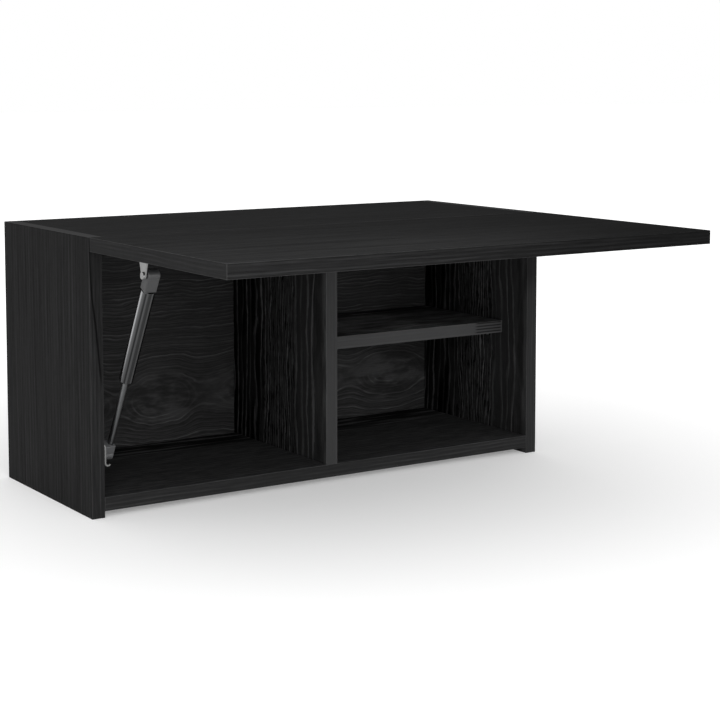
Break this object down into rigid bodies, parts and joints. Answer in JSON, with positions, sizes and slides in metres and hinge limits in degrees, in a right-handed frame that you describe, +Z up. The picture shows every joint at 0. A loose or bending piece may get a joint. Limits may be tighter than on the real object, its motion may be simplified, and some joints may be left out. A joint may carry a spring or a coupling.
{
  "type": "lift top coffee table",
  "caption": "Low black wood-grain coffee table: open cabinet with a divider and a shelf, fixed top, and a full-width front flap held level by a gas strut.",
  "frame": {"origin": "floor level, centre of the plan box with the flap raised (its rest pose)", "axes": "+Z up, -Y towards the front where the flap reaches out, +X to the right seen from the front, along the table's length"},
  "size_m": [0.72, 0.634, 0.36],
  "materials": {
    "board": "black-stained oak-grain foil on particle board, satin",
    "chromed_steel": "bright polished",
    "plated_steel": "nickel plated, pressed",
    "zinc_casting": "raw zinc die casting, dull",
    "socket_plastic": "moulded grey nylon",
    "seal_rubber": "moulded nitrile",
    "dowel_wood": "fluted beech, unfinished"
  },
  "bodies": {
    "carcass": {"left_side_panel": "board", "right_side_panel": "board", "top_panel": "board", "bottom_panel": "board", "divider_panel": "board", "shelf_panel": "board", "back_panel": "board", "lower_bracket": "plated_steel", "lower_stud": "plated_steel", "lower_bracket_screws": "plated_steel", "hinge_arm_left": "plated_steel", "hinge_arm_right": "plated_steel", "hinge_plate_left": "plated_steel", "hinge_plate_right": "plated_steel", "hinge_plate_screws": "plated_steel", "hinge_adjusting_screws": "plated_steel", "divider_screws": "plated_steel", "cam_bolts": "plated_steel", "shelf_pegs": "plated_steel", "cam_locks": "zinc_casting", "wood_dowels": "dowel_wood"},
    "flap": {"flap_panel": "board", "hinge_cup_left": "plated_steel", "hinge_cup_right": "plated_steel", "hinge_pins": "plated_steel", "hinge_cup_screws": "plated_steel", "upper_bracket": "plated_steel", "upper_bracket_screws": "plated_steel", "upper_stud": "plated_steel"},
    "strut_rod_side": {"strut_rod": "chromed_steel", "strut_piston": "socket_plastic", "strut_piston_ring": "seal_rubber", "strut_lower_socket": "socket_plastic"},
    "strut_tube_side": {"strut_cylinder": "chromed_steel", "strut_end_plug": "plated_steel", "strut_rod_guide": "socket_plastic", "strut_rod_seal": "seal_rubber", "strut_upper_socket": "socket_plastic"}
  },
  "joints": [
    {"name": "flap_hinge", "type": "hinge", "parent": "carcass", "child": "flap", "pos_m": [0, 0.028, 0.3485], "axis": [1, 0, 0], "range_deg": [0, 90]},
    {"name": "strut_pivot", "type": "hinge", "parent": "carcass", "child": "strut_rod_side", "pos_m": [-0.3198, 0.0767, 0.0746], "axis": [1, 0, 0], "range_deg": [-22.62, 0]},
    {"name": "strut_slide", "type": "slide", "parent": "strut_rod_side", "child": "strut_tube_side", "axis": [0, 0.4774, -0.8787], "range_m": [0, 0.088], "stiffness_N_per_m": 200, "springref_m": -0.65}
  ],
  "couplings": [
    {"joint": "strut_pivot", "follows": "flap_hinge", "ratio": -0.25126},
    {"joint": "strut_slide", "follows": "flap_hinge", "m_per_rad": 0.056014}
  ]
}
